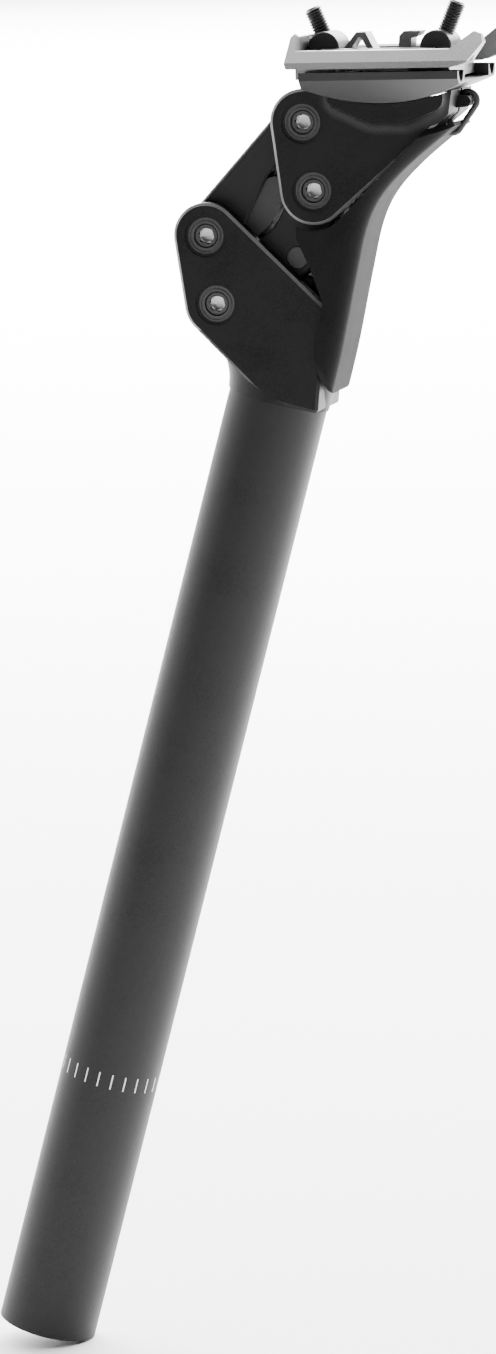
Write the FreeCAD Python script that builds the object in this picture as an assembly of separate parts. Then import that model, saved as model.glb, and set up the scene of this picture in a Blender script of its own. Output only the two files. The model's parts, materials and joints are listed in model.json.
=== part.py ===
"""Suspension seatpost: a straight post whose head carries a sprung parallelogram linkage and a two-bolt saddle clamp.

Row frame, in millimetres: +Z runs up the post's axis, +X points to the rear of the bicycle and Y runs across it.
The origin is the centre of the post's bottom end. Every outline of the head and links is drawn in the XZ plane
and is symmetric about Y = 0.
"""

import FreeCAD
import Part

import math
import os

V = FreeCAD.Vector

# ---------------------------------------------------------------- driving dimensions
# Post
tube_od = 27.2
tube_wall = 2.3
tube_length = 270.0
tube_end_chamfer = 0.6
head_proud = 0.4  # the head stands this far proud of the tube all round
spigot_length = 28.0
bond_gap = 0.05

# Linkage, as seen from the side
pivot_front_x = -27.5  # lower front pivot
pivot_front_rise = 39.0  # above the top of the tube
pivot_spacing = 18.45  # between the two pivots of one pair of ears
pivot_spacing_angle = -66.4
link_length = 40.6
link_angle = 63.4

# Ears and pivots
ear_thickness = 4.5
ear_radius = 8.9
ear_edge = 0.8
floor_rise = 10.0  # floor of the head's cavity above the top of the tube
axle_diameter = 6.6
axle_recess = 0.9  # end of an axle below the ear's face
axle_socket = 4.0
axle_socket_depth = 3.5
bush_od = 9.8
bush_recess = 0.5
lip_diameter = 11.5
lip_depth = 0.35
bush_fit = 0.03
bush_press = 0.01

# Links
link_side_clearance = 0.3
front_link_radius = 7.5
rear_link_radius = 7.9
waist_radius = 14.0  # hollow in the front link's rear edge
waist_along = 24.5
waist_offset = 15.6
hollow_radius = 17.0  # hollow in the rear link's front edge
hollow_along = 24.5
hollow_offset = 19.5
crank_along = 23.3  # along the rear link from its lower pivot
crank_offset = 8.0  # behind the line between the link's pivots
crank_pin_diameter = 6.2
crank_boss_radius = 4.7
roller_radius = 4.2
roller_fit = 0.03
roller_slot_half = 6.5
roller_half = 6.15
bumper_radius = 3.1
bumper_half = 7.8
bumper_along = 21.0
bumper_offset = 5.0
bumper_bends = ((9.0, 6.9), (12.0, 7.4), (17.0, 6.8))  # its lower run, along and behind the front link

# Plunger, springs and preload adjuster
plunger_rod_diameter = 12.0
plunger_rest_gap = 0.05  # between roller and plunger at rest
guide_wall = 2.0
guide_fit = 0.04
flange_gap = 0.5
flange_height = 4.0
cup_rim = 2.0
cup_gap = 0.2
spring_od = 17.6
spring_wire = 3.0
spring_turns = 22
inner_spring_od = 9.8
inner_spring_wire = 1.6
inner_spring_turns = 34
spring_rest_length = 190.0
seat_height = 6.0
plug_length = 16.0
plug_socket = 8.0
plug_socket_depth = 8.0
bore_fit = 0.05
wire_gap = 0.05  # between the band and its hook
part_gap = 0.3  # between neighbours that move past each other

# Saddle clamp. Its own frame has x along the rails, z square to them, origin in the cradle's top plane.
clamp_behind = 19.021  # its origin behind and above the upper front pivot
clamp_above = 19.397
clamp_tilt = 15.6
clamp_half_width = 27.0
rail_diameter = 7.0
rail_spacing = 44.0
rail_rise = 0.5  # rail axis above the cradle's top plane
cradle_half_length = 21.45
cradle_band = 2.05
cradle_depth = 8.55
saddle_radius = 52.0
saddle_gap = 0.3
core_half_width = 17.4
core_top = -3.0
top_clamp_bottom = 1.0
top_clamp_height = 4.6
strut_half = 4.0  # half width of the two stays between the barrel nuts
barrel_diameter = 8.5
barrel_length = 15.0
barrel_front_x = -18.75
barrel_rear_x = 11.85
barrel_rise = 5.9
barrel_fit = 0.05
bolt_diameter = 4.9
bolt_hole_fit = 0.06
bolt_splay = 23.0
bolt_grip = 20.5  # from barrel axis to the underside of the bolt's head
bolt_past_front = 11.3
bolt_past_rear = 12.6
bolt_head_diameter = 8.5
bolt_head_height = 5.0
bolt_socket = 4.0
washer_diameter = 9.0
washer_thickness = 1.2
slot_extra = 2.0  # fore and aft room for a bolt as the clamp tilts, in the head
cradle_slot = 2.2
clamp_slot = 1.4
washer_gap = 0.8

# Fender and its band
fender_side_room = 1.8  # outer side face beyond the head's ears
fender_wall = 1.4
fender_corner = 5.2
fender_end_corner = 8.5
hook_x = 19.0  # hook under the back of the saddle block, in the clamp's frame
hook_z = -9.0
hook_radius = 1.5
band_wire = 1.7
band_foot = (29.8, 25.6)  # lower bend of the band, behind and above the upper rear pivot
fender_top = 27.4  # above the upper rear pivot

# ---------------------------------------------------------------- derived places
TUBE_R = tube_od / 2
BORE_R = TUBE_R - tube_wall
HALF_W = TUBE_R + head_proud
EAR_IN = HALF_W - ear_thickness  # inner face of an ear
LINK_OUT = EAR_IN - link_side_clearance  # outer face of a link
FLOOR = tube_length + floor_rise


def polar(length, degrees):
    return (length * math.cos(math.radians(degrees)), length * math.sin(math.radians(degrees)))


def add(p, q, k=1.0):
    return (p[0] + k * q[0], p[1] + k * q[1])


ALONG = polar(1.0, link_angle)
BEHIND = (ALONG[1], -ALONG[0])  # from the link's line to its rear side
LINK = polar(link_length, link_angle)
EAR = polar(pivot_spacing, pivot_spacing_angle)
LOWER_FRONT = (pivot_front_x, tube_length + pivot_front_rise)
LOWER_REAR = add(LOWER_FRONT, EAR)
UPPER_FRONT = add(LOWER_FRONT, LINK)
UPPER_REAR = add(LOWER_REAR, LINK)
CRANK = add(add(LOWER_REAR, ALONG, crank_along), BEHIND, crank_offset)
BUMPER = add(add(LOWER_FRONT, ALONG, bumper_along), BEHIND, bumper_offset)
PLUNGER_TOP = CRANK[1] - roller_radius - plunger_rest_gap
SPRING_TOP = tube_length - spigot_length - part_gap - flange_height + cup_rim
SPRING_BOTTOM = SPRING_TOP - spring_rest_length
CLAMP_X = polar(1.0, clamp_tilt)
CLAMP_Z = (-CLAMP_X[1], CLAMP_X[0])
CLAMP_O = add(UPPER_FRONT, (clamp_behind, clamp_above))
SADDLE_O = (-0.9, saddle_radius - cradle_depth)  # centre of the saddle arc in the clamp's frame
BARREL_F = (barrel_front_x, barrel_rise)
BARREL_R = (barrel_rear_x, barrel_rise)


def clamp_point(x, z):
    return add(add(CLAMP_O, CLAMP_X, x), CLAMP_Z, z)


# ---------------------------------------------------------------- shape helpers
def vec(p, y=0.0):
    return V(p[0], y, p[1])


def tangent_normal(c1, r1, c2, r2):
    dx = c2[0] - c1[0]
    dz = c2[1] - c1[1]
    span = math.hypot(dx, dz)
    return math.atan2(dz, dx) - math.acos((r1 - r2) / span)


def belt_face(items, y):
    """Face bounded by a belt run anticlockwise round circles (centre, radius); a negative radius is a hollow."""
    count = len(items)
    out_angle = []
    for i in range(count):
        c1, r1 = items[i]
        c2, r2 = items[(i + 1) % count]
        out_angle.append(tangent_normal(c1, r1, c2, r2))
    edges = []
    for i in range(count):
        centre, radius = items[i]
        start = out_angle[i - 1]
        stop = out_angle[i]
        if radius >= 0:
            sweep = (stop - start) % (2 * math.pi)
        else:
            sweep = -((start - stop) % (2 * math.pi))
        ends = [add(centre, (math.cos(a), math.sin(a)), radius) for a in (start, start + sweep / 2, stop)]
        if abs(sweep * radius) > 0.002:
            edges.append(Part.Arc(vec(ends[0], y), vec(ends[1], y), vec(ends[2], y)).toShape())
        after = items[(i + 1) % count]
        nxt = add(after[0], (math.cos(stop), math.sin(stop)), after[1])
        if math.hypot(nxt[0] - ends[2][0], nxt[1] - ends[2][1]) > 0.002:
            edges.append(Part.makeLine(vec(ends[2], y), vec(nxt, y)))
    return Part.Face(Part.Wire(Part.__sortEdges__(edges)))


def belt(items, y0, y1):
    return belt_face(items, y0).extrude(V(0, y1 - y0, 0))


def poly(points, y0, y1):
    wire = Part.makePolygon([vec(p, y0) for p in points] + [vec(points[0], y0)])
    return Part.Face(wire).extrude(V(0, y1 - y0, 0))


def disc(centre, radius, y0, y1):
    return Part.makeCylinder(radius, y1 - y0, vec(centre, y0), V(0, 1, 0))


def clamp_poly(points, y0, y1):
    return poly([clamp_point(x, z) for x, z in points], y0, y1)


def clamp_box(x0, x1, y0, y1, z0, z1):
    return clamp_poly([(x0, z0), (x1, z0), (x1, z1), (x0, z1)], y0, y1)


def clamp_disc(x, z, radius, y0, y1):
    return disc(clamp_point(x, z), radius, y0, y1)


def upright(radius, z0, z1):
    return Part.makeCylinder(radius, z1 - z0, V(0, 0, z0), V(0, 0, 1))


def mirrored(shape):
    return shape.mirror(V(0, 0, 0), V(0, 1, 0))


def both(shape):
    return shape.fuse(mirrored(shape))


def pair(shape):
    return Part.makeCompound([shape, mirrored(shape)])


def hex_rod(across, start, axis, length):
    """Hexagonal prism, for cutting a socket."""
    radius = across / math.sqrt(3)
    corners = [V(radius * math.cos(k * math.pi / 3), radius * math.sin(k * math.pi / 3), 0) for k in range(7)]
    rod = Part.Face(Part.makePolygon(corners)).extrude(V(0, 0, length))
    rod.Placement = FreeCAD.Placement(start, FreeCAD.Rotation(V(0, 0, 1), axis))
    return rod


def bevel(shape, size, test):
    edges = [e for e in shape.Edges if test(e)]
    return shape.makeChamfer(size, edges)


def on_outer_face(y):
    def test(edge):
        box = edge.BoundBox
        return abs(box.YMin - y) < 1e-6 and abs(box.YMax - y) < 1e-6
    return test


def tidy(shape):
    shape = shape.removeSplitter()
    if shape.ShapeType == "Compound" and len(shape.Solids) == 1:
        shape = shape.Solids[0]
    return shape


def spiral(diameter, wire, turns, z0, z1):
    """Closed-end coil spring standing on z0, its wire kept inside z0 to z1."""
    pitch = (z1 - z0 - 2 * wire) / (turns - 2)
    low = Part.makeHelix(wire, wire, (diameter - wire) / 2)
    mid = Part.makeHelix(pitch, pitch * (turns - 2), (diameter - wire) / 2)
    top = Part.makeHelix(wire, wire, (diameter - wire) / 2)
    mid.translate(V(0, 0, wire))
    top.translate(V(0, 0, wire + pitch * (turns - 2)))
    path = Part.Wire(low.Edges + mid.Edges + top.Edges)
    ring = Part.Wire(Part.makeCircle(wire / 2 * 0.94, V((diameter - wire) / 2, 0, 0), V(0, 1, 0)))
    coil = path.makePipeShell([ring], True, True)
    coil.translate(V(0, 0, z0))
    flats = Part.makeBox(diameter * 2, diameter * 2, z1 - z0, V(-diameter, -diameter, z0))
    return coil.common(flats)


# ---------------------------------------------------------------- post
def post_tube():
    body = upright(TUBE_R, 0, tube_length).cut(upright(BORE_R, -1, tube_length + 1))
    return bevel(body, tube_end_chamfer, lambda e: e.BoundBox.ZMax < 0.01 and e.BoundBox.XMax < TUBE_R - 0.1)


def ear_outline_lower():
    nose = (LOWER_FRONT, ear_radius)
    knee = (LOWER_REAR, ear_radius)
    heel = ((0.5, tube_length + 4.5), 4.0)
    back = ((HALF_W - 1.3, tube_length + 1.7), 1.1)
    tip = ((8.0, tube_length + 28.4), 1.0)
    return [nose, knee, heel, back, tip]


def rounded_section(x0, x1, half, corner, z):
    """Rounded rectangle in plan, as a wire at height z."""
    edges = []
    spots = [(x1, half, 0), (x0, half, 90), (x0, -half, 180), (x1, -half, 270)]
    arcs = []
    for x, y, turn in spots:
        sx = 1 if x == x1 else -1
        sy = 1 if y > 0 else -1
        centre = V(x - sx * corner, y - sy * corner, z)
        points = []
        for k in (0, 45, 90):
            a = math.radians(turn + k)
            points.append(centre + V(corner * math.cos(a), corner * math.sin(a), 0))
        arcs.append(points)
    for i in range(4):
        points = arcs[i]
        edges.append(Part.Arc(points[0], points[1], points[2]).toShape())
        edges.append(Part.makeLine(points[2], arcs[(i + 1) % 4][0]))
    return Part.Wire(edges)


def post_head():
    shoulder = HALF_W - 0.05
    plans = [rounded_section(-HALF_W, HALF_W, HALF_W, shoulder, tube_length)]
    plans.append(rounded_section(-HALF_W - 0.6, HALF_W, HALF_W, shoulder - 1.6, tube_length + 4))
    plans.append(rounded_section(-HALF_W - 3.8, HALF_W, HALF_W, shoulder - 5.5, FLOOR + 0.6))
    neck = Part.makeLoft(plans, True, False)
    ears = belt(ear_outline_lower(), -HALF_W, HALF_W)
    for side in (-HALF_W, HALF_W):
        ears = bevel(ears, ear_edge, on_outer_face(side))
    body = ears.fuse(neck)
    cavity = poly([(-60, FLOOR), (60, FLOOR), (60, FLOOR + 90), (-60, FLOOR + 90)], -EAR_IN, EAR_IN)
    front = poly([(-60, FLOOR - 30), (-HALF_W - 1.4, FLOOR - 30), (-HALF_W - 1.4, FLOOR + 1), (-60, FLOOR + 1)],
                 -EAR_IN, EAR_IN)
    body = body.cut(cavity).cut(front)
    body = body.fuse(upright(BORE_R - bond_gap, tube_length - spigot_length, tube_length + 1))
    guide_r = plunger_rod_diameter / 2 + guide_wall
    body = body.cut(upright(guide_r, tube_length - spigot_length - 1, FLOOR + 1))
    for pivot in (LOWER_FRONT, LOWER_REAR):
        body = body.cut(disc(pivot, bush_od / 2, -HALF_W - 1, HALF_W + 1))
        for side in (-1, 1):
            y0, y1 = sorted((side * (HALF_W - lip_depth), side * (HALF_W + 1)))
            body = body.cut(disc(pivot, lip_diameter / 2, y0, y1))
    return tidy(body)


def plunger_guide():
    outer = plunger_rod_diameter / 2 + guide_wall - bush_press
    inner = plunger_rod_diameter / 2 + guide_fit
    body = upright(outer, tube_length - spigot_length + 0.5, FLOOR - 0.2)
    return body.cut(upright(inner, 0, FLOOR + 1))


def pivot_bushes(pivot):
    """Pair of plain bearings, one in each ear, with a shallow ring groove in the outer face."""
    outer = HALF_W - bush_recess
    body = disc(pivot, bush_od / 2 - bush_press, EAR_IN, outer)
    body = body.cut(disc(pivot, axle_diameter / 2 + bush_fit, 0, HALF_W + 1))
    groove = disc(pivot, bush_od / 2 - 0.5, outer - 0.3, outer + 1)
    groove = groove.cut(disc(pivot, bush_od / 2 - 0.95, outer - 1, outer + 2))
    return pair(body.cut(groove))


def axle(pivot):
    half = HALF_W - axle_recess
    body = disc(pivot, axle_diameter / 2, -half, half)
    body = bevel(body, 0.35, lambda e: abs(abs(e.BoundBox.YMin) - half) < 1e-6 and e.BoundBox.YLength < 1e-6)
    for side in (-1, 1):
        start = vec(pivot, side * (half - axle_socket_depth))
        body = body.cut(hex_rod(axle_socket, start, V(0, side, 0), axle_socket_depth + 1))
    return body


# ---------------------------------------------------------------- links
def front_link():
    waist = add(add(LOWER_FRONT, ALONG, waist_along), BEHIND, waist_offset)
    outline = [(LOWER_FRONT, front_link_radius), (waist, -waist_radius), (UPPER_FRONT, front_link_radius)]
    body = belt(outline, -LINK_OUT, LINK_OUT)
    for side in (-LINK_OUT, LINK_OUT):
        body = bevel(body, 0.6, on_outer_face(side))
    body = body.cut(bumper_belt(0, bumper_half))
    for pivot in (LOWER_FRONT, UPPER_FRONT):
        body = body.cut(disc(pivot, axle_diameter / 2 + bush_press, -LINK_OUT - 1, LINK_OUT + 1))
    return tidy(body)


def bumper_belt(extra, half):
    spots = [add(add(LOWER_FRONT, ALONG, a), BEHIND, b) for a, b in bumper_bends]
    return belt([(p, bumper_radius + extra) for p in spots + [BUMPER]], -half, half)


def topout_bumper():
    return bumper_belt(-0.02, bumper_half - 0.02)


def crank_point(dx, dz):
    return add(CRANK, (dx, dz))


def rear_link():
    hollow = add(add(LOWER_REAR, ALONG, hollow_along), BEHIND, -hollow_offset)
    outline = [(LOWER_REAR, rear_link_radius), (CRANK, crank_boss_radius)]
    outline += [(UPPER_REAR, rear_link_radius), (hollow, -hollow_radius)]
    body = belt(outline, -LINK_OUT, LINK_OUT)
    for side in (-LINK_OUT, LINK_OUT):
        body = bevel(body, 0.6, on_outer_face(side))
    slot = [crank_point(-6.9, -30), crank_point(14, -30), crank_point(14, 3), crank_point(6, 3)]
    slot += [crank_point(0, 0.5), crank_point(-4.4, -2.8), crank_point(-6.9, -5.6)]
    body = body.cut(poly(slot, -roller_slot_half, roller_slot_half))
    body = body.cut(disc(CRANK, roller_radius + 0.6, -roller_slot_half, roller_slot_half))
    body = body.cut(disc(CRANK, crank_pin_diameter / 2 + bush_press, -LINK_OUT - 1, LINK_OUT + 1))
    for pivot in (LOWER_REAR, UPPER_REAR):
        body = body.cut(disc(pivot, axle_diameter / 2 + bush_press, -LINK_OUT - 1, LINK_OUT + 1))
    return tidy(body)


def crank_pin():
    body = disc(CRANK, crank_pin_diameter / 2, -LINK_OUT, LINK_OUT)
    return bevel(body, 0.3, lambda e: e.BoundBox.YLength < 1e-6)


def crank_roller():
    body = disc(CRANK, roller_radius, -roller_half, roller_half)
    body = bevel(body, 0.3, lambda e: e.BoundBox.YLength < 1e-6)
    return body.cut(disc(CRANK, crank_pin_diameter / 2 + roller_fit, -roller_half - 1, roller_half + 1))


# ---------------------------------------------------------------- plunger, springs, preload
def plunger():
    base = SPRING_TOP
    top = base + flange_height - cup_rim
    body = upright(BORE_R - flange_gap, base - cup_rim, top)
    body = body.cut(upright(spring_od / 2 + cup_gap, base - cup_rim - 1, base))
    body = body.fuse(upright(inner_spring_od / 2 - inner_spring_wire - 0.3, base - 5, base + 0.5))
    rod = upright(plunger_rod_diameter / 2, base + 0.5, PLUNGER_TOP)
    rod = bevel(rod, 0.8, lambda e: e.BoundBox.ZMin > PLUNGER_TOP - 0.01)
    return tidy(body.fuse(rod))


def main_spring():
    return spiral(spring_od, spring_wire, spring_turns, SPRING_BOTTOM, SPRING_TOP)


def inner_spring():
    return spiral(inner_spring_od, inner_spring_wire, inner_spring_turns, SPRING_BOTTOM, SPRING_TOP)


def preload_seat():
    body = upright(BORE_R - flange_gap, SPRING_BOTTOM - seat_height + cup_rim, SPRING_BOTTOM + cup_rim)
    body = body.cut(upright(spring_od / 2 + cup_gap, SPRING_BOTTOM, SPRING_BOTTOM + cup_rim + 1))
    peg = upright(inner_spring_od / 2 - inner_spring_wire - 0.3, SPRING_BOTTOM - 0.5, SPRING_BOTTOM + 5)
    return tidy(body.fuse(peg))


def preload_plug():
    top = SPRING_BOTTOM - seat_height + cup_rim - part_gap
    body = upright(BORE_R - bore_fit, top - plug_length, top)
    body = bevel(body, 0.5, lambda e: e.BoundBox.ZLength < 1e-6)
    return body.cut(hex_rod(plug_socket, V(0, 0, top - plug_length - 1), V(0, 0, 1), plug_socket_depth + 1))


# ---------------------------------------------------------------- upper head
def saddle_cylinder(radius, half):
    return clamp_disc(SADDLE_O[0], SADDLE_O[1], radius, -half, half)


def bolt_dir(side):
    """Unit vector down a clamp bolt towards its head, in the clamp's frame; side is -1 front, 1 rear."""
    a = math.radians(bolt_splay)
    return (-side * math.sin(a), -math.cos(a))


def bolt_rod(side, radius, near, far, sweep=0.0):
    """Round bar (or a slot, with sweep) on a bolt's axis between two distances from the barrel nut's axis."""
    spot = BARREL_F if side < 0 else BARREL_R
    d = bolt_dir(side)
    across = (d[1], -d[0])
    whole = None
    for shift in ((0.0,) if sweep == 0 else (-sweep, 0.0, sweep)):
        start = add(add(spot, d, near), across, shift)
        p = clamp_point(start[0], start[1])
        q = clamp_point(start[0] + d[0], start[1] + d[1])
        rod = Part.makeCylinder(radius, far - near, vec(p), V(q[0] - p[0], 0, q[1] - p[1]))
        whole = rod if whole is None else whole.fuse(rod)
    if sweep > 0:
        a = add(add(spot, d, near), across, -sweep)
        b = add(add(spot, d, near), across, sweep)
        e = add(b, d, far - near)
        f = add(a, d, far - near)
        whole = whole.fuse(clamp_poly([a, b, e, f], -radius, radius))
    return whole


def upper_head():
    ear_top = clamp_point(-9.0, -4.0)
    ear_back = clamp_point(16.0, -6.0)
    ear_heel = clamp_point(15.2, -11.2)
    outline = [(UPPER_FRONT, ear_radius), (UPPER_REAR, ear_radius + 0.3), (ear_heel, 1.2), (ear_back, 1.2)]
    outline += [(ear_top, 1.0)]
    body = belt(outline, -HALF_W, HALF_W)
    for side in (-HALF_W, HALF_W):
        body = bevel(body, ear_edge, on_outer_face(side))
    spots = [(-12.3, -6.4), (-4.0, -10.3), (4.2, -10.5), (12.0, -7.6), (12.0, -2.0), (-12.3, -2.0)]
    block = belt([(clamp_point(x, z), 3.4) for x, z in spots], -core_half_width, core_half_width)
    hollow_r = core_half_width - HALF_W
    lowered = [(clamp_point(x, z), 3.4 + hollow_r) for x, z in spots]
    flare = belt(lowered, -core_half_width, core_half_width)
    flare = flare.common(belt(outline, -core_half_width, core_half_width))
    for side in (-1, 1):
        rim = belt_face(lowered, side * core_half_width).OuterWire
        start = rim.Edges[0].firstVertex().Point
        heading = rim.Edges[0].tangentAt(rim.Edges[0].FirstParameter)
        round_bar = Part.Wire(Part.makeCircle(hollow_r, start, heading))
        flare = flare.cut(rim.makePipeShell([round_bar], True, True))
    body = body.fuse(block).fuse(flare)
    roof = [clamp_point(x, z) for x, z in [(-60, -11.6), (-13, -11.6), (-12.4, -14.2), (9.5, -14.2), (30, -26)]]
    hollow = roof + [(90, 280), (-90, 280)]
    body = body.cut(poly(hollow[::-1], -EAR_IN, EAR_IN))
    body = body.cut(disc(UPPER_FRONT, front_link_radius + 0.6, -EAR_IN, EAR_IN))
    nose = [UPPER_FRONT, clamp_point(-23, 10), clamp_point(-60, 10), clamp_point(-60, -20), clamp_point(-23, -20)]
    body = body.cut(poly(nose, -EAR_IN, EAR_IN))
    body = body.cut(saddle_cylinder(saddle_radius + saddle_gap, 40))
    for side in (-1, 1):
        body = body.cut(bolt_rod(side, bolt_diameter / 2 + 0.6, 5, 30, slot_extra))
        seat = bolt_grip - washer_thickness - washer_gap
        body = body.cut(bolt_rod(side, washer_diameter / 2 + 0.8, seat, seat + 16, slot_extra * 0.6))
    for pivot in (UPPER_FRONT, UPPER_REAR):
        body = body.cut(disc(pivot, bush_od / 2, -HALF_W - 1, HALF_W + 1))
        for side in (-1, 1):
            y0, y1 = sorted((side * (HALF_W - lip_depth), side * (HALF_W + 4)))
            body = body.cut(disc(pivot, lip_diameter / 2, y0, y1))
    band_room = band_wire / 2 + 0.4
    body = body.cut(clamp_box(15.6, 30, -band_room, band_room, -20, -4))
    body = body.cut(clamp_box(10.8, 16, -band_room, band_room, -20, -8))
    hook = disc(clamp_point(hook_x, hook_z), hook_radius, -4.5, 4.5)
    arm = belt([(clamp_point(hook_x, hook_z), hook_radius), (clamp_point(13.0, -9.0), 2.0)], 1.6, 4.5)
    body = body.fuse(hook).fuse(both(arm))
    return tidy(body)


# ---------------------------------------------------------------- saddle clamp
def rail_groove():
    """Both rails' round grooves, as a cutter."""
    start = clamp_point(-60, rail_rise)
    cutters = []
    for side in (-1, 1):
        axis = V(CLAMP_X[0], 0, CLAMP_X[1])
        cutters.append(Part.makeCylinder(rail_diameter / 2, 120, vec(start, side * rail_spacing / 2), axis))
    return cutters[0].fuse(cutters[1])


def along_rails(corners):
    """Prism along the rails from corners (y, z), z in the clamp's frame."""
    base = clamp_point(-40, 0)
    points = [V(base[0] + CLAMP_Z[0] * z, y, base[1] + CLAMP_Z[1] * z) for y, z in corners]
    face = Part.Face(Part.makePolygon(points + [points[0]]))
    return face.extrude(V(CLAMP_X[0] * 80, 0, CLAMP_X[1] * 80))


def wing_wedge(side):
    """Cutter for the sloping underside of a cradle wing."""
    outer = side * (clamp_half_width + 5)
    inner = side * (core_half_width + 0.6)
    edge = side * clamp_half_width
    return along_rails([(edge, -cradle_band), (inner, -cradle_depth - 0.6), (inner, -20), (outer, -20),
                        (outer, -cradle_band)])


def rail_cradle():
    body = clamp_box(-cradle_half_length, cradle_half_length, -clamp_half_width, clamp_half_width, -12, 0)
    body = body.common(saddle_cylinder(saddle_radius, 40))
    for side in (-1, 1):
        body = body.cut(wing_wedge(side))
    body = body.cut(clamp_box(-30, 30, -core_half_width, core_half_width, core_top, 5))
    body = body.cut(clamp_box(-9.5, 4.5, -11.5, 11.5, -20, 5))
    for side in (-1, 1):
        body = body.cut(bolt_rod(side, bolt_diameter / 2 + 0.5, 3, 22, cradle_slot))
    return tidy(body.cut(rail_groove()))


def top_clamp():
    low = top_clamp_bottom
    high = top_clamp_bottom + top_clamp_height
    side_view = [(-24.9, low), (19.6, low), (24.0, 2.5), (27.2, 7.2), (26.4, 9.4), (24.2, 10.1), (18.4, high)]
    side_view += [(-23.1, high), (-23.4, 9.6), (-24.1, 10.1), (-25.0, 9.2), (-25.3, 2.4)]
    bar = clamp_poly(side_view, core_half_width - 0.6, clamp_half_width)
    slope = [(clamp_half_width, low + 1.7), (clamp_half_width - 9.6, low + 9.7), (clamp_half_width + 5, low + 9.7)]
    slope += [(clamp_half_width + 5, low + 1.7)]
    bars = both(bar.cut(along_rails(slope)))
    body = bars.cut(rail_groove())
    for spot in (BARREL_F, BARREL_R):
        wall = clamp_box(spot[0] - 5.6, spot[0] + 5.6, -core_half_width, core_half_width, core_top + 0.8, high - 1.4)
        body = body.fuse(wall)
    ribs = both(clamp_box(BARREL_F[0], BARREL_R[0], barrel_length / 2 + 0.4, barrel_length / 2 + 3.2, low - 1, high))
    body = body.fuse(ribs)
    body = body.fuse(clamp_box(-25.0, -23.3, -core_half_width, core_half_width, low, 9.2))
    spine = clamp_box(BARREL_F[0] + 5, BARREL_R[0] - 5, -strut_half, strut_half, low, 3.4)
    body = body.fuse(spine)
    strut = clamp_poly([(-14.2, 3.2), (-4.6, 3.2), (-7.9, 9.8), (-10.4, 9.8), (-14.2, 5.2)], -strut_half, strut_half)
    strut = strut.cut(clamp_poly([(-12.0, 5.3), (-7.4, 5.3), (-9.3, 8.4), (-9.8, 8.4)], -14.0, 14.0))
    brace = clamp_poly([(0.8, 3.2), (4.2, 3.2), (4.6, 8.0), (6.4, 8.6), (7.2, 9.9), (2.6, 9.9), (1.3, 8.6)],
                       -strut_half, strut_half)
    body = body.fuse(strut).fuse(brace)
    for spot in (BARREL_F, BARREL_R):
        half = barrel_length / 2 + 0.2
        body = body.cut(clamp_disc(spot[0], spot[1], barrel_diameter / 2 + barrel_fit, -half, half))
        roof = clamp_box(spot[0] - 4.3, spot[0] + 4.3, -half, half, spot[1], 12)
        body = body.cut(roof)
    for side in (-1, 1):
        body = body.cut(bolt_rod(side, bolt_diameter / 2 + 0.5, -8, 14, clamp_slot))
    return tidy(body)


def barrel_nut(side):
    spot = BARREL_F if side < 0 else BARREL_R
    body = clamp_disc(spot[0], spot[1], barrel_diameter / 2, -barrel_length / 2, barrel_length / 2)
    body = bevel(body, 0.3, lambda e: e.BoundBox.YLength < 1e-6)
    return body.cut(bolt_rod(side, bolt_diameter / 2 + bolt_hole_fit, -8, 8))


def clamp_bolt(side):
    past = bolt_past_front if side < 0 else bolt_past_rear
    shank = bolt_rod(side, bolt_diameter / 2, -past, bolt_grip + 1)
    head = bolt_rod(side, bolt_head_diameter / 2, bolt_grip, bolt_grip + bolt_head_height)
    spot = BARREL_F if side < 0 else BARREL_R
    d = bolt_dir(side)
    start = add(spot, d, bolt_grip + bolt_head_height - 2.6)
    p = clamp_point(start[0], start[1])
    q = clamp_point(start[0] + d[0], start[1] + d[1])
    socket = hex_rod(bolt_socket, vec(p), V(q[0] - p[0], 0, q[1] - p[1]), 4)
    return tidy(shank.fuse(head)).cut(socket)


def clamp_washer(side):
    ring = bolt_rod(side, washer_diameter / 2, bolt_grip - washer_thickness, bolt_grip)
    return ring.cut(bolt_rod(side, bolt_diameter / 2 + 0.02, 0, 40))


# ---------------------------------------------------------------- fender and band
def channel(inset, half, corner):
    """Deep channel stock: its back follows the fender's curve, moved forward by inset, with rounded long edges."""
    z = tube_length
    x = HALF_W
    back = [(x + 2.2, z - 6.0), (x + 2.0, z + 6.6), (x + 1.8, z + 19.6), (x + 1.1, z + 31.9), (x + 0.5, z + 42.9)]
    x = UPPER_REAR[0] + HALF_W
    z = UPPER_REAR[1]
    back += [(x + 2.2, z - 5.9), (x + 3.5, z + 1.9), (x + 6.5, z + 8.7), (x + 10.5, z + 15.2)]
    back += [(x + 14.9, z + 21.4), (x + 19.1, z + 27.2), (x + 26.3, z + 37.0)]
    moved = []
    for i, p in enumerate(back):
        q = back[min(i + 1, len(back) - 1)]
        o = back[max(i - 1, 0)]
        span = math.hypot(q[0] - o[0], q[1] - o[1])
        ahead = (-(q[1] - o[1]) / span, (q[0] - o[0]) / span)
        moved.append(add(p, ahead, inset))
    rear = Part.BSplineCurve()
    rear.interpolate([vec(p, -half) for p in moved])
    far = [moved[-1], (-60, moved[-1][1]), (-60, moved[0][1]), moved[0]]
    edges = rear.toShape().Edges + Part.makePolygon([vec(p, -half) for p in far]).Edges
    stock = Part.Face(Part.Wire(edges)).extrude(V(0, 2 * half, 0))
    long_edges = []
    for edge in stock.Edges:
        box = edge.BoundBox
        if box.ZLength > 70 and box.YLength < 1 and box.XMax > 20:
            long_edges.append(edge)
    return stock.makeFillet(corner, long_edges)


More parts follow.
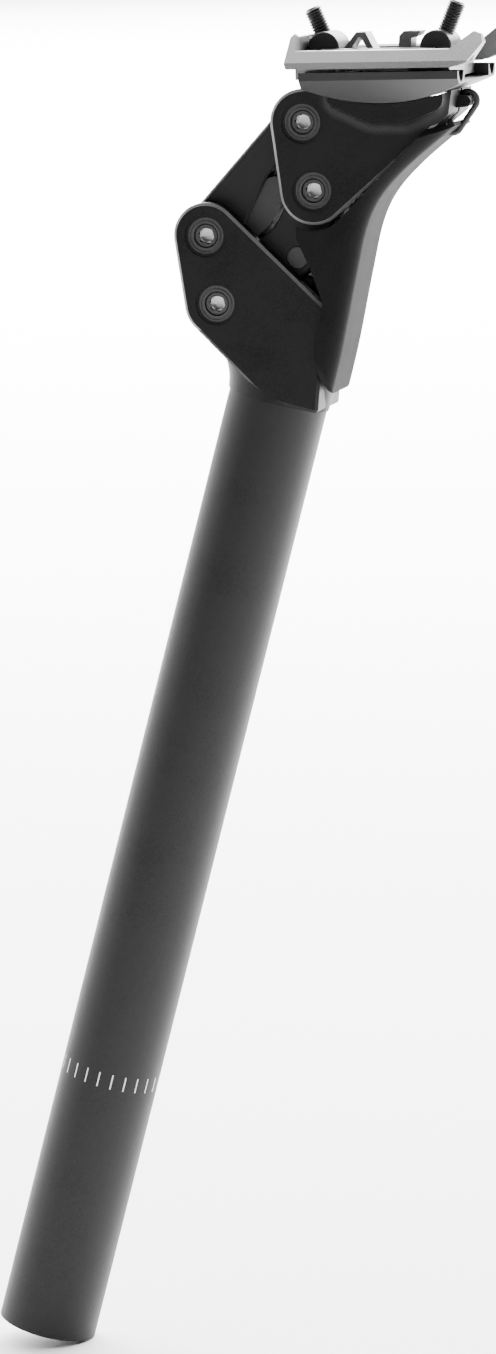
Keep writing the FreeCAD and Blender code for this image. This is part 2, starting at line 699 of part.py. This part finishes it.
def fender():
    z = tube_length
    ring = ear_radius + 1.8
    lead = [add(UPPER_REAR, p) for p in [(41.9, 22.2), (30.4, fender_top), (26.9, 25.2), (25.1, 23.0)]]
    lead += [add(UPPER_REAR, polar(ring, turn)) for turn in (-38, -53, -68, -84, -100)]
    lead += [(-2.9, z + 44.9), (2.3, z + 38.8), (8.3, z + 30.2), (8.9, z + 24.5), (8.5, z + 19.9)]
    lead += [(10.2, z + 13.9), (12.7, z + 9.3), (15.2, z + 6.6), (40, z + 6.0)]
    half = HALF_W + fender_side_room
    body = channel(0, half, fender_corner)
    body = body.cut(channel(fender_wall, half - fender_wall, fender_corner - fender_wall))
    body = body.common(poly(lead, -half - 1, half + 1))
    corner = fender_end_corner
    wide = half - corner
    top = UPPER_REAR[1] + fender_top
    ends = [(-wide, z + 6.3 + corner), (wide, z + 6.3 + corner), (wide, top - corner), (-wide, top - corner)]
    tongue = belt([(p, corner) for p in ends], -60, 60)
    tongue.rotate(V(0, 0, 0), V(0, 0, 1), 90)
    return tidy(body.common(tongue).cut(band_loop(band_wire + 0.5)))


def band_loop(wire):
    """Rubber band from the head's hook through the fender's back wall, just under its top edge."""
    top = clamp_point(hook_x, hook_z)
    foot = add(UPPER_REAR, band_foot)
    turn = math.degrees(math.atan2(foot[1] - top[1], foot[0] - top[0]))
    reach = hook_radius + wire_gap + band_wire / 2
    side = polar(reach, turn + 90)
    ends = polar(reach, turn)
    p = [add(top, side), add(top, ends, -1), add(top, side, -1)]
    q = [add(foot, side, -1), add(foot, ends), add(foot, side)]
    edges = [Part.Arc(vec(p[0]), vec(p[1]), vec(p[2])).toShape(), Part.makeLine(vec(p[2]), vec(q[0]))]
    edges += [Part.Arc(vec(q[0]), vec(q[1]), vec(q[2])).toShape(), Part.makeLine(vec(q[2]), vec(p[0]))]
    section = Part.Wire(Part.makeCircle(wire / 2, vec(p[2]), vec(q[0]) - vec(p[2])))
    return Part.Wire(edges).makePipeShell([section], True, True)


def fender_band():
    return band_loop(band_wire)


def main():
    parts = {
        "post_tube": post_tube(),
        "post_head": post_head(),
        "plunger_guide": plunger_guide(),
        "lower_front_bushes": pivot_bushes(LOWER_FRONT),
        "lower_rear_bushes": pivot_bushes(LOWER_REAR),
        "upper_front_bushes": pivot_bushes(UPPER_FRONT),
        "upper_rear_bushes": pivot_bushes(UPPER_REAR),
        "lower_front_axle": axle(LOWER_FRONT),
        "lower_rear_axle": axle(LOWER_REAR),
        "upper_front_axle": axle(UPPER_FRONT),
        "upper_rear_axle": axle(UPPER_REAR),
        "front_link": front_link(),
        "topout_bumper": topout_bumper(),
        "rear_link": rear_link(),
        "crank_pin": crank_pin(),
        "crank_roller": crank_roller(),
        "plunger": plunger(),
        "main_spring": main_spring(),
        "inner_spring": inner_spring(),
        "preload_seat": preload_seat(),
        "preload_plug": preload_plug(),
        "upper_head": upper_head(),
        "rail_cradle": rail_cradle(),
        "top_clamp": top_clamp(),
        "front_barrel_nut": barrel_nut(-1),
        "rear_barrel_nut": barrel_nut(1),
        "front_clamp_bolt": clamp_bolt(-1),
        "rear_clamp_bolt": clamp_bolt(1),
        "front_clamp_washer": clamp_washer(-1),
        "rear_clamp_washer": clamp_washer(1),
        "fender": fender(),
        "fender_band": fender_band(),
    }
    os.makedirs("parts", exist_ok=True)
    for name, shape in parts.items():
        shape.exportStep("parts/" + name + ".step")
        print(name, len(shape.Solids), round(shape.Volume, 1), shape.isValid())


main()
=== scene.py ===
"""Suspension seatpost on a pale studio floor.

Metres, in the part's own frame: +Z up the post, +X rearwards.
"""

import json
import math

import bmesh
import bpy
from mathutils import Matrix, Vector


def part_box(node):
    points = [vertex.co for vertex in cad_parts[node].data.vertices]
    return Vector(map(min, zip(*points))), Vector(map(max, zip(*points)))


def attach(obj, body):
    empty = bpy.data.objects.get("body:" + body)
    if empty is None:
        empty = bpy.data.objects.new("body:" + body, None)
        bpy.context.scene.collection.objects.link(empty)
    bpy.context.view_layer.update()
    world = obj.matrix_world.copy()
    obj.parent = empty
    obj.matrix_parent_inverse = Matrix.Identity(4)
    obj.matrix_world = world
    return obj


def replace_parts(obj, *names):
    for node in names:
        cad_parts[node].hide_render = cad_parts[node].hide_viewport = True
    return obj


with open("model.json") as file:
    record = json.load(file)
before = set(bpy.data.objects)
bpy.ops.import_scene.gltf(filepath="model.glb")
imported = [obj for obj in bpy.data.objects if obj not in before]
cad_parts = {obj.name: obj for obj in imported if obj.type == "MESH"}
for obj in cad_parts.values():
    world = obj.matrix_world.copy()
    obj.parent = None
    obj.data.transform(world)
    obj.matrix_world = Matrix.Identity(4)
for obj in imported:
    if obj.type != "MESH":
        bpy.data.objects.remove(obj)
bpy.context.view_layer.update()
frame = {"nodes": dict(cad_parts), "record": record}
nodes = frame["nodes"]
MM = 0.001


# ---------------------------------------------------------------- shader nodes
BLACK = (0.0, 0.0, 0.0)
WHITE = (1.0, 1.0, 1.0)
BLUE_LIFT = 1.02  # a trace of blue in every grey
MIX_FACTOR, MIX_FIRST, MIX_SECOND, MIX_RESULT = 0, 6, 7, 2  # a Mix node's sockets when it mixes colours


def grey(level):
    return (level, level, level * BLUE_LIFT)


def new_material(name, base, rough, metallic=0.0, specular=0.5):
    mat = bpy.data.materials.new(name)
    mat.use_nodes = True
    shader = mat.node_tree.nodes["Principled BSDF"]
    shader.inputs["Base Color"].default_value = (*base, 1.0)
    shader.inputs["Roughness"].default_value = rough
    shader.inputs["Metallic"].default_value = metallic
    shader.inputs["Specular IOR Level"].default_value = specular
    return mat, shader


def add_node(mat, kind, **values):
    node = mat.node_tree.nodes.new(kind)
    for key, value in values.items():
        if key in node.inputs:
            node.inputs[key].default_value = value
        else:
            setattr(node, key, value)
    return node


def calculate(mat, operation, *values):
    """Result of a Math node whose inputs are sockets or plain numbers."""
    node = add_node(mat, "ShaderNodeMath", operation=operation)
    for socket, value in zip(node.inputs, values):
        if isinstance(value, float):
            socket.default_value = value
        else:
            mat.node_tree.links.new(value, socket)
    return node.outputs[0]


def coordinates(mat, kind):
    return add_node(mat, "ShaderNodeTexCoord").outputs[kind]


def split(mat, vector):
    node = add_node(mat, "ShaderNodeSeparateXYZ")
    mat.node_tree.links.new(vector, node.inputs["Vector"])
    return node.outputs


def noise(mat, scale, detail, rough=0.5, stretch=None):
    texture = add_node(mat, "ShaderNodeTexNoise", Scale=scale, Detail=detail, Roughness=rough)
    source = coordinates(mat, "Object")
    if stretch:
        mapping = add_node(mat, "ShaderNodeMapping", Scale=stretch)
        mat.node_tree.links.new(source, mapping.inputs["Vector"])
        source = mapping.outputs["Vector"]
    mat.node_tree.links.new(source, texture.inputs["Vector"])
    return texture.outputs["Fac"]


def ramp(mat, source, stops):
    node = add_node(mat, "ShaderNodeValToRGB")
    while len(node.color_ramp.elements) < len(stops):
        node.color_ramp.elements.new(0.5)
    for element, (place, colour) in zip(node.color_ramp.elements, stops):
        element.position = place
        element.color = (*colour, 1.0)
    mat.node_tree.links.new(source, node.inputs["Fac"])
    return node.outputs["Color"]


def spread(mat, source, low, high):
    """Maps 0 to 1 onto low to high."""
    node = add_node(mat, "ShaderNodeMapRange")
    node.inputs["To Min"].default_value = low
    node.inputs["To Max"].default_value = high
    mat.node_tree.links.new(source, node.inputs["Value"])
    return node.outputs["Result"]


def bump(mat, shader, source, depth):
    node = add_node(mat, "ShaderNodeBump", Distance=depth)
    mat.node_tree.links.new(source, node.inputs["Height"])
    mat.node_tree.links.new(node.outputs["Normal"], shader.inputs["Normal"])


# ---------------------------------------------------------------- finishes
CLOUD_SCALE = 60.0
CLOUD_DETAIL = 3.0
CLOUD_ROUGHNESS = 0.55
GRAIN_DETAIL = 2.0
GRAIN_ROUGHNESS = 0.6

EAR_HIGHLIGHT_AT = 13.6 * MM  # middle of the ears' chamfers, out from the middle plane, where the highlight is painted
EAR_HIGHLIGHT_BAND = 0.46 * MM  # half the width of the band that holds them
EAR_HIGHLIGHT_LOW = 284.0 * MM  # no painted highlight is below this height
EAR_HIGHLIGHT_TURN = [(0.62, BLACK), (0.68, WHITE), (0.74, WHITE), (0.80, BLACK)]  # painted highlight on faces turned either side of 45 degrees


def grained(name, levels, rough, grain, depth, metallic=0.0, specular=0.5, stretch=None):
    """Finish with a fine grain in its relief, and slow changes in its colour and gloss."""
    dark, light = [grey(level) for level in levels]
    mat, shader = new_material(name, dark, sum(rough) / 2, metallic, specular)
    links = mat.node_tree.links
    slow = noise(mat, CLOUD_SCALE, CLOUD_DETAIL, CLOUD_ROUGHNESS)
    fine = noise(mat, grain, GRAIN_DETAIL, GRAIN_ROUGHNESS, stretch)
    both = spread(mat, calculate(mat, "ADD", slow, fine), -0.5, 0.5)
    links.new(ramp(mat, both, [(0.25, dark), (0.75, light)]), shader.inputs["Base Color"])
    links.new(spread(mat, slow, *rough), shader.inputs["Roughness"])
    bump(mat, shader, fine, depth)
    return mat


def with_painted_ear_highlight(mat, colour, rough):
    """Painted highlight: a lighter colour on the ears' 45 degree chamfers above a set height, standing in
    for the light they catch; the smoother roughness there is the cut edges' own.
    """
    shader = mat.node_tree.nodes["Principled BSDF"]
    links = mat.node_tree.links
    sideways = calculate(mat, "ABSOLUTE", split(mat, coordinates(mat, "Normal"))["Y"])
    turned = ramp(mat, sideways, EAR_HIGHLIGHT_TURN)
    place = split(mat, coordinates(mat, "Object"))
    across = calculate(mat, "ABSOLUTE", place["Y"])
    band = calculate(mat, "COMPARE", across, EAR_HIGHLIGHT_AT, EAR_HIGHLIGHT_BAND)
    above = calculate(mat, "GREATER_THAN", place["Z"], EAR_HIGHLIGHT_LOW)
    # painted highlight mask: faces near 45 degrees, in the ears' band, above the set height
    edge = calculate(mat, "MULTIPLY", turned, calculate(mat, "MULTIPLY", band, above))
    for name, value in (("Base Color", colour), ("Roughness", (rough, rough, rough))):
        plain = shader.inputs[name].links[0].from_socket
        mix = add_node(mat, "ShaderNodeMix", data_type="RGBA")
        links.new(edge, mix.inputs[MIX_FACTOR])
        links.new(plain, mix.inputs[MIX_FIRST])
        mix.inputs[MIX_SECOND].default_value = (*value, 1.0)
        links.new(mix.outputs[MIX_RESULT], shader.inputs[name])
    return mat


FINISH = {
    "anodised_black": grained(
        "black anodising", (0.002, 0.010), rough=(0.42, 0.52), grain=2400, depth=0.04 * MM, specular=0.22),
    "satin_black": grained(
        "satin black anodising", (0.007, 0.014), rough=(0.40, 0.48), grain=2400, depth=0.03 * MM,
        specular=0.40),
    # the heads' black anodising, with a painted highlight on the ears' chamfers
    "machined_black_painted_highlight": with_painted_ear_highlight(
        grained(
            "machined black anodising, painted edge highlight", (0.001, 0.009), rough=(0.44, 0.54), grain=2400, depth=0.04 * MM,
            specular=0.14),
        colour=grey(0.12), rough=0.3),
    "anodised_grey": grained(
        "grey anodising", (0.17, 0.26), rough=(0.36, 0.46), grain=2400, depth=0.03 * MM, metallic=0.8),
    "steel_bright": grained(
        "bright steel", (0.55, 0.70), rough=(0.28, 0.40), grain=2500, depth=0.01 * MM, metallic=1.0,
        stretch=(1, 8, 1)),
    "steel_black": grained(
        "black oxide steel", (0.020, 0.045), rough=(0.30, 0.42), grain=3000, depth=0.02 * MM, metallic=0.3),
    "bearing_polymer": grained(
        "bearing polymer", (0.03, 0.05), rough=(0.45, 0.55), grain=2500, depth=0.03 * MM),
    "rubber_black": grained(
        "black rubber", (0.012, 0.020), rough=(0.55, 0.68), grain=2600, depth=0.05 * MM),
    "fender_plastic": grained(
        "black plastic", (0.005, 0.011), rough=(0.60, 0.70), grain=2400, depth=0.05 * MM, specular=0.04),
    "mark_print": grained(
        "white print", (0.55, 0.75), rough=(0.5, 0.6), grain=2500, depth=0.01 * MM),
}
SLOT = {entry["node"]: entry["material_slot"] for entry in frame["record"]["subparts"]}

# These pieces show another finish than their own slot's; the two heads' finish carries a painted highlight
# on the ears' chamfers.
LOOK = {"rail_cradle": "satin_black", "post_head": "machined_black_painted_highlight", "upper_head": "machined_black_painted_highlight"}

for name, obj in nodes.items():
    for material_slot in obj.material_slots:
        material_slot.material = FINISH[LOOK.get(name, SLOT[name])]


# ---------------------------------------------------------------- small bevels on the CAD pieces
BEVELS = {
    "post_head": 0.25 * MM,
    "upper_head": 0.25 * MM,
    "rail_cradle": 0.4 * MM,
    "top_clamp": 0.45 * MM,
    "front_barrel_nut": 0.2 * MM,
    "rear_barrel_nut": 0.2 * MM,
}
BEVEL_SEGMENTS = 2
BEVEL_ANGLE = math.radians(40)


def soften(name, width):
    """A small bevel, so that a machined edge catches the light."""
    edge = nodes[name].modifiers.new("edge", "BEVEL")
    edge.width = width
    edge.segments = BEVEL_SEGMENTS
    edge.limit_method = "ANGLE"
    edge.angle_limit = BEVEL_ANGLE


for name, width in BEVELS.items():
    soften(name, width)


# ---------------------------------------------------------------- mesh helpers
SHARP_ANGLE = math.radians(35)
LATHE_SIDES = 72


def mesh_object(name, make, body, finish):
    mesh = bpy.data.meshes.new(name)
    work = bmesh.new()
    make(work)
    bmesh.ops.recalc_face_normals(work, faces=work.faces)
    work.to_mesh(mesh)
    work.free()
    mesh.polygons.foreach_set("use_smooth", [True] * len(mesh.polygons))
    mesh.set_sharp_from_angle(angle=SHARP_ANGLE)
    mesh.materials.append(FINISH[finish])
    obj = bpy.data.objects.new(name, mesh)
    bpy.context.scene.collection.objects.link(obj)
    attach(obj, body)
    return obj


def lathe(work, rings, matrix):
    """Closed solid of rings (height, and a radius or a function of the angle) about its own Z axis."""
    rows = []
    for z, radius in rings:
        row = []
        for k in range(LATHE_SIDES):
            angle = 2 * math.pi * k / LATHE_SIDES
            r = radius(angle) if callable(radius) else radius
            row.append(work.verts.new(matrix @ Vector((r * math.cos(angle), r * math.sin(angle), z))))
        rows.append(row)
    for low, high in zip(rows, rows[1:]):
        for k in range(LATHE_SIDES):
            n = (k + 1) % LATHE_SIDES
            work.faces.new((low[k], low[n], high[n], high[k]))
    work.faces.new(rows[0][::-1])
    work.faces.new(rows[-1])


def hexagon(across):
    """Radius of a hexagon as a function of the angle, from its size across the flats."""
    def radius(angle):
        turn = (angle + math.pi / 6) % (math.pi / 3) - math.pi / 6
        return across / 2 / math.cos(turn)
    return radius


def along(start, end):
    """Matrix that takes Z to the line from start to end, with its origin at start."""
    turn = (end - start).to_track_quat("Z", "Y").to_matrix().to_4x4()
    return Matrix.Translation(start) @ turn


# ---------------------------------------------------------------- clamp bolts with real threads
CLAMP_TILT = math.radians(15.6)
CLAMP_ORIGIN = Vector((9.7 * MM, 0.0, 364.7 * MM))
CLAMP_X = Vector((math.cos(CLAMP_TILT), 0.0, math.sin(CLAMP_TILT)))
CLAMP_Z = Vector((-math.sin(CLAMP_TILT), 0.0, math.cos(CLAMP_TILT)))
NUT_HEIGHT = 5.9 * MM  # from the clamp's origin

BOLT_SPLAY = math.radians(23.0)
BOLT_GRIP = 20.5 * MM  # from the nut's middle to the underside of the bolt's head
PLAIN_SHANK = 4.0 * MM

THREAD_MAJOR = 4.9 * MM
THREAD_PITCH = 0.8 * MM
THREAD_DEPTH = 0.42 * MM
THREAD_CORE = THREAD_MAJOR / 2 - THREAD_DEPTH
THREAD_RUNOUT = 0.3 * MM
TIP_CHAMFER = 0.35 * MM
RINGS_PER_TURN = 8
FLANK_SLOPE = 1.25
CREST_FLAT = 0.12

HEAD_HEIGHT = 5.0 * MM
HEAD_RADIUS = 4.25 * MM
HEAD_CHAMFER = 0.4 * MM
SEAT_CHAMFER = 0.25 * MM
SEAT_STEP = 0.02 * MM
KEY_ACROSS = 4.0 * MM
KEY_DEPTH = 2.4 * MM
KEY_CENTRE = 0.6 * MM
KEY_CENTRE_DROP = 0.01 * MM


def thread_radius(z):
    """Radius of the thread at height z, as a function of the angle."""
    def radius(angle):
        phase = (z / THREAD_PITCH - angle / (2 * math.pi)) % 1.0
        tooth = abs(phase - 0.5) * 2
        return THREAD_MAJOR / 2 - THREAD_DEPTH * min(1.0, max(0.0, tooth * FLANK_SLOPE - CREST_FLAT))
    return radius


def clamp_bolt(name, body, nut_x, side, past):
    """Threaded bolt, made from its tip, a length past the nut's middle, down to its socket head."""
    nut_middle = CLAMP_ORIGIN + CLAMP_X * nut_x + CLAMP_Z * NUT_HEIGHT
    down = CLAMP_X * (-side * math.sin(BOLT_SPLAY)) - CLAMP_Z * math.cos(BOLT_SPLAY)
    tip = nut_middle - down * past
    shank = past + BOLT_GRIP
    end = shank + HEAD_HEIGHT
    thread_end = shank - PLAIN_SHANK

    def make(work):
        rings = [(0.0, THREAD_CORE - TIP_CHAMFER), (TIP_CHAMFER, THREAD_CORE)]
        steps = int(thread_end / (THREAD_PITCH / RINGS_PER_TURN))
        for k in range(RINGS_PER_TURN // 2, steps):
            z = k * THREAD_PITCH / RINGS_PER_TURN
            rings.append((z, thread_radius(z)))
        rings += [(thread_end + THREAD_RUNOUT, THREAD_MAJOR / 2), (shank, THREAD_MAJOR / 2)]
        seat = shank + SEAT_STEP
        rings += [(seat, HEAD_RADIUS - SEAT_CHAMFER), (seat + SEAT_CHAMFER, HEAD_RADIUS)]
        rings += [(end - HEAD_CHAMFER, HEAD_RADIUS), (end, HEAD_RADIUS - HEAD_CHAMFER)]
        key = hexagon(KEY_ACROSS)
        bottom = end - KEY_DEPTH
        rings += [(end, key), (bottom, key), (bottom - KEY_CENTRE_DROP, KEY_CENTRE)]
        lathe(work, rings, along(tip, tip + down))

    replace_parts(mesh_object(name + "_threaded", make, body, "steel_black"), name)


clamp_bolt("front_clamp_bolt", "front_bolt", nut_x=-18.75 * MM, side=-1, past=11.3 * MM)
clamp_bolt("rear_clamp_bolt", "rear_bolt", nut_x=11.85 * MM, side=1, past=12.6 * MM)


# ---------------------------------------------------------------- bright linings of the axles' sockets
SOCKET_ACROSS = 3.9 * MM
SOCKET_FLOOR = 9.65 * MM  # out from the middle plane
SOCKET_FACE = 12.2 * MM
LINING_WALL = 0.25 * MM
LINING_FLOOR = 0.3 * MM
LINING_CENTRE_FLOOR = 0.25 * MM
LINING_CENTRE = 0.4 * MM
AXLES = {
    "lower_front_axle": "front_link",
    "upper_front_axle": "front_link",
    "lower_rear_axle": "rear_link",
    "upper_rear_axle": "rear_link",
}


def socket_lining(axle, body):
    """Thin bright cups that line both hex sockets of an axle."""
    low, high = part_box(axle)
    middle = (Vector(low) + Vector(high)) / 2
    depth = SOCKET_FACE - SOCKET_FLOOR
    outside = hexagon(SOCKET_ACROSS)
    inside = hexagon(SOCKET_ACROSS - 2 * LINING_WALL)
    rings = [(0.0, outside), (depth, outside), (depth, inside), (LINING_FLOOR, inside)]
    rings += [(LINING_CENTRE_FLOOR, LINING_CENTRE)]

    def make(work):
        for side in (-1, 1):
            start = middle + Vector((0, side * SOCKET_FLOOR, 0))
            lathe(work, rings, along(start, start + Vector((0, side, 0))))

    mesh_object(axle + "_socket", make, body, "steel_bright")


for axle_name, axle_body in AXLES.items():
    socket_lining(axle_name, axle_body)


# ---------------------------------------------------------------- plain tick marks round the tube
POST_RADIUS = 13.6 * MM
MARK_LOW = 73.8 * MM
MARK_LENGTH = 4.1 * MM
MARK_HALF_WIDTH = 0.18 * MM
MARK_COUNT = 23
MARK_PHASE = 0.20
MARK_PROUD = 0.015 * MM
MARK_STRIPS = 3


def insertion_marks():
    r = POST_RADIUS + MARK_PROUD
    half = MARK_HALF_WIDTH / POST_RADIUS

    def make(work):
        for k in range(MARK_COUNT):
            middle = 2 * math.pi * (k + MARK_PHASE) / MARK_COUNT
            columns = []
            for step in range(MARK_STRIPS + 1):
                angle = middle - half + 2 * half * step / MARK_STRIPS
                x, y = r * math.cos(angle), r * math.sin(angle)
                columns.append([work.verts.new((x, y, z)) for z in (MARK_LOW, MARK_LOW + MARK_LENGTH)])
            for left, right in zip(columns, columns[1:]):
                work.faces.new((left[0], right[0], right[1], left[1]))

    mesh_object("insertion_marks", make, "post", "mark_print")


insertion_marks()


# ---------------------------------------------------------------- floor and world
FLOOR_SIZE = 40.0
FLOOR_GAP = 0.3 * MM
FLOOR_UP = CLAMP_Z  # level with the saddle clamp, so that the post leans as it does on a bicycle
FLOOR_PALE = (0.93, 0.93, 0.93)
FLOOR_CLOUD_SCALE = 1.5
FLOOR_CLOUD_LIFT = 1.015
WORLD_STRENGTH = 0.08


def studio_floor():
    mat, shader = new_material("studio floor", FLOOR_PALE, 0.8)
    slow = noise(mat, FLOOR_CLOUD_SCALE, 2.0)
    lighter = tuple(level * FLOOR_CLOUD_LIFT for level in FLOOR_PALE)
    clouds = ramp(mat, slow, [(0.3, FLOOR_PALE), (0.7, lighter)])
    mat.node_tree.links.new(clouds, shader.inputs["Base Color"])
    lowest = Vector((POST_RADIUS, 0.0, 0.0))
    bpy.ops.mesh.primitive_plane_add(size=FLOOR_SIZE, location=lowest - FLOOR_UP * FLOOR_GAP)
    floor = bpy.context.object
    floor.name = "studio_floor"
    floor.rotation_mode = "QUATERNION"
    floor.rotation_quaternion = FLOOR_UP.to_track_quat("Z", "Y")
    floor.data.materials.append(mat)


def pale_world():
    world = bpy.data.worlds.new("studio")
    world.use_nodes = True
    background = world.node_tree.nodes["Background"]
    background.inputs["Color"].default_value = (*WHITE, 1.0)
    background.inputs["Strength"].default_value = WORLD_STRENGTH
    bpy.context.scene.world = world


studio_floor()
pale_world()


# ---------------------------------------------------------------- camera and lights
CAMERA_AZIMUTH = math.radians(10.51)
CAMERA_ELEVATION = math.radians(11.34)
CAMERA_ROLL = math.radians(14.09)
CAMERA_TARGET = Vector((10.5, 0.0, 193.33)) * MM
CAMERA_DISTANCE = 1.6215
CAMERA_LENS = 157.65
CAMERA_SENSOR = 36.0
CAMERA_CLIP = (0.05, 30.0)


def studio_camera():
    """Camera at its place; gives its right, up and backward directions, which place the lights."""
    data = bpy.data.cameras.new("camera")
    data.sensor_width = CAMERA_SENSOR
    data.lens = CAMERA_LENS
    data.clip_start, data.clip_end = CAMERA_CLIP
    cam = bpy.data.objects.new("camera", data)
    bpy.context.scene.collection.objects.link(cam)
    level = math.cos(CAMERA_ELEVATION)
    aside = math.sin(CAMERA_AZIMUTH) * level
    ahead = math.cos(CAMERA_AZIMUTH) * level
    back = Vector((aside, -ahead, math.sin(CAMERA_ELEVATION)))
    right = (-back).cross(Vector((0, 0, 1))).normalized()
    up = right.cross(-back)
    c, s = math.cos(CAMERA_ROLL), math.sin(CAMERA_ROLL)
    right_rolled = right * c + up * s
    up_rolled = up * c - right * s
    turn = Matrix((right_rolled, up_rolled, back)).transposed().to_4x4()
    cam.matrix_world = Matrix.Translation(CAMERA_TARGET + back * CAMERA_DISTANCE) @ turn
    bpy.context.scene.camera = cam
    return right_rolled, up_rolled, back


def softbox(name, place, size, power, aim=CAMERA_TARGET):
    data = bpy.data.lights.new(name, "AREA")
    data.shape = "RECTANGLE"
    data.size, data.size_y = size
    data.energy = power
    lamp = bpy.data.objects.new(name, data)
    lamp.location = place
    lamp.rotation_mode = "QUATERNION"
    lamp.rotation_quaternion = (aim - place).to_track_quat("-Z", "Y")
    bpy.context.scene.collection.objects.link(lamp)


RIGHT, UP, BACK = studio_camera()
CEILING_HEIGHT = 2.6
CEILING_CENTRE = Vector((0.0, 7.0, 0.0))  # behind the part, so that it lights the floor that the camera sees
CEILING = CEILING_CENTRE + FLOOR_UP * CEILING_HEIGHT
KEY = CAMERA_TARGET + UP * 1.3 + BACK * 0.2 - RIGHT * 0.3
LEFT = CAMERA_TARGET - RIGHT * 1.4 + UP * 0.3 + BACK * 0.05
FILL = CAMERA_TARGET + RIGHT * 1.4 + UP * 0.1 + BACK * 0.15
softbox("ceiling", CEILING, size=(11.0, 16.0), power=12500.0, aim=CEILING_CENTRE)
softbox("key", KEY, size=(1.6, 0.9), power=14.0)
softbox("left", LEFT, size=(0.9, 1.6), power=9.0)
softbox("right", FILL, size=(0.5, 1.4), power=3.0)
